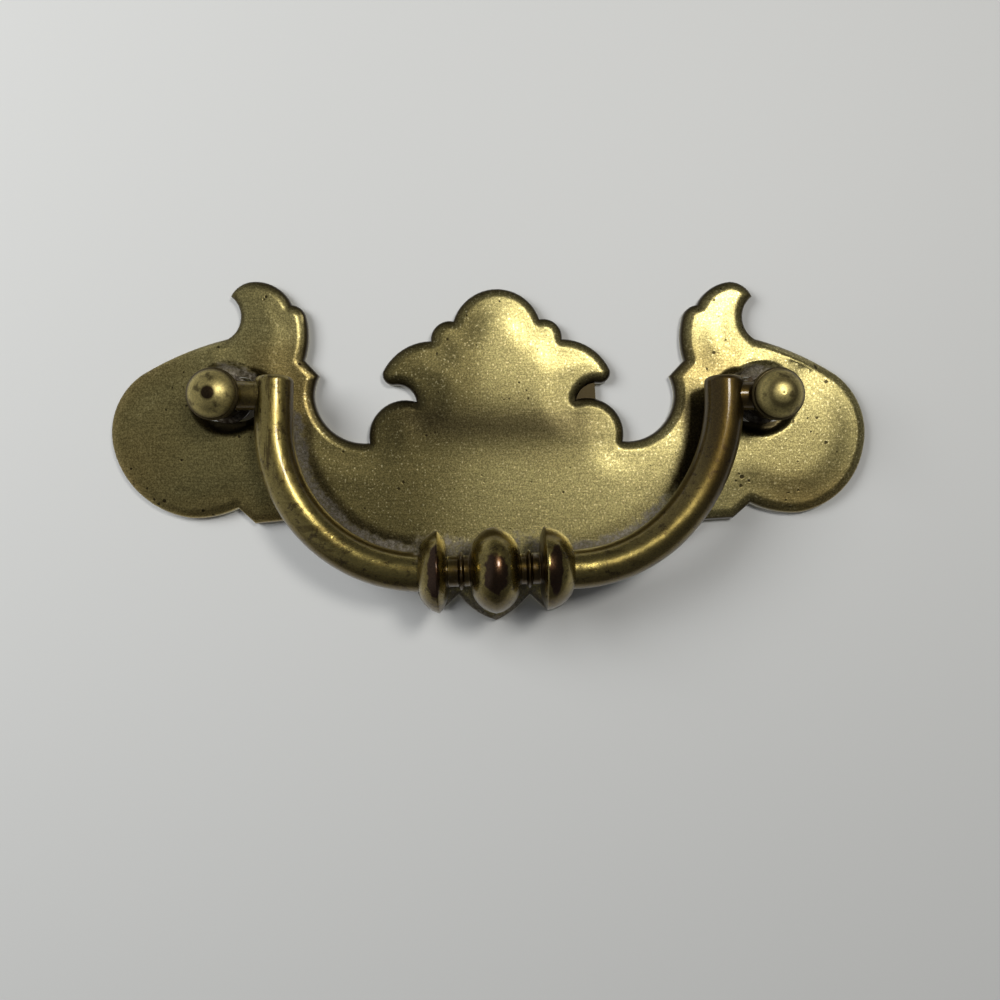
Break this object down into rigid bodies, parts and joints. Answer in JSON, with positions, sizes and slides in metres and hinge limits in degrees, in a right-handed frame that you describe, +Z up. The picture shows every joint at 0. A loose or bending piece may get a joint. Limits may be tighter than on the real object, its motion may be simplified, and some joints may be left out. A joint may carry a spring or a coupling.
{
  "type": "bail pull",
  "caption": "Period-style brass bail pull: a shaped and bevelled back plate, two turned posts and a swinging bail with a turned bead.",
  "frame": {"origin": "midway between the two posts, on the plate's back face", "axes": "+Z up on the drawer front, +X to the right as seen from the front, +Y into the drawer front; -Y is towards the hand"},
  "size_m": [0.1084, 0.0143, 0.0488],
  "materials": {
    "plate_brass": "satin, antiqued",
    "post_brass": "satin, antiqued",
    "bail_brass": "lacquered, aged"
  },
  "bodies": {
    "plate": {"back_plate": "plate_brass", "post_left": "post_brass", "post_right": "post_brass"},
    "bail": {"bail": "bail_brass"}
  },
  "joints": [
    {"name": "bail_swing", "type": "hinge", "parent": "plate", "child": "bail", "pos_m": [0, -0.0066, 0], "axis": [-1, 0, 0], "range_deg": [0, 176]}
  ]
}
